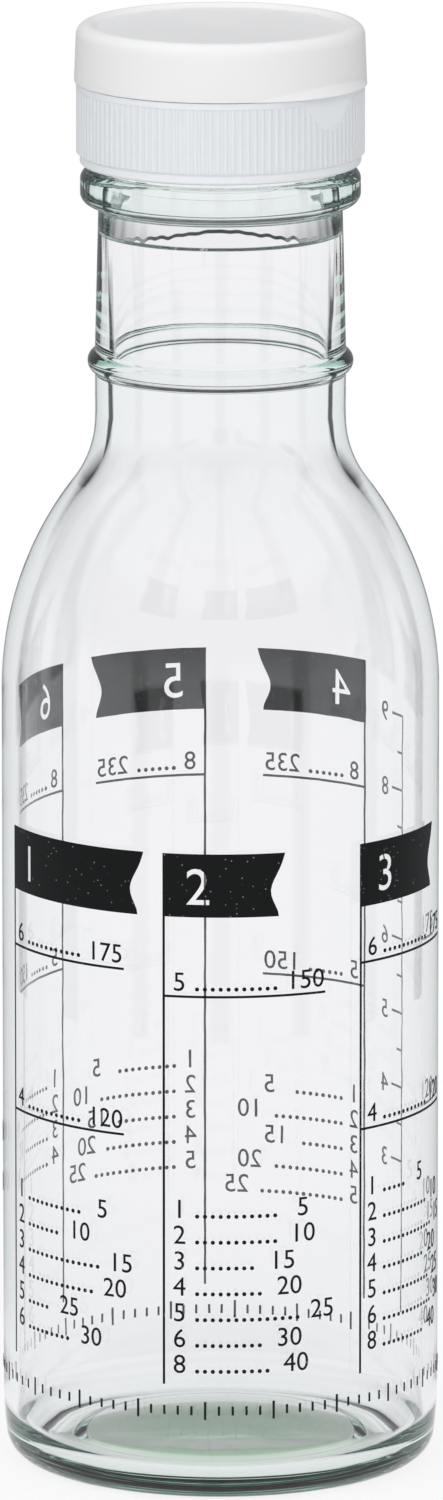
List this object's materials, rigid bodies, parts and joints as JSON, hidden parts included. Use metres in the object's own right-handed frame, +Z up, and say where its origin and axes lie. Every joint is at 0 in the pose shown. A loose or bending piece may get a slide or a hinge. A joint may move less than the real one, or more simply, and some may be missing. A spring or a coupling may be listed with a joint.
{
  "type": "dressing shaker bottle",
  "caption": "Glass dressing shaker: round shouldered bottle with a ringed neck, a ribbed screw closure with a pouring spout, and a flip-up lid on a living hinge.",
  "frame": {"origin": "centre of the ring that the bottle stands on, in the plane of that ring", "axes": "+Z up the bottle's axis, -Y towards the lid's thumb lip, +Y towards the lid's hinge"},
  "size_m": [0.0616, 0.0616, 0.2054],
  "materials": {
    "clear_glass": "clear",
    "liner_foam": "foamed sheet",
    "closure_plastic": "moulded, satin",
    "lid_plastic": "moulded, satin"
  },
  "bodies": {
    "bottle": {"bottle": "clear_glass"},
    "liner": {"liner": "liner_foam"},
    "closure": {"closure_base": "closure_plastic", "hinge_strap": "closure_plastic"},
    "lid": {"flip_lid": "lid_plastic"}
  },
  "joints": [
    {"name": "closure_lift", "type": "slide", "parent": "bottle", "child": "liner", "axis": [0, 0, 1], "range_m": [0, 0.0128]},
    {"name": "closure_turn", "type": "hinge", "parent": "liner", "child": "closure", "pos_m": [0, 0, 0.1966], "axis": [0, 0, 1], "range_deg": [0, 1080]},
    {"name": "lid_flip", "type": "hinge", "parent": "closure", "child": "lid", "pos_m": [0, 0.02052, 0.19734], "axis": [-1, 0, 0], "range_deg": [0, 170], "deforming": ["hinge_strap"]}
  ],
  "couplings": [
    {"joint": "closure_lift", "follows": "closure_turn", "m_per_rad": 0.00067376}
  ]
}
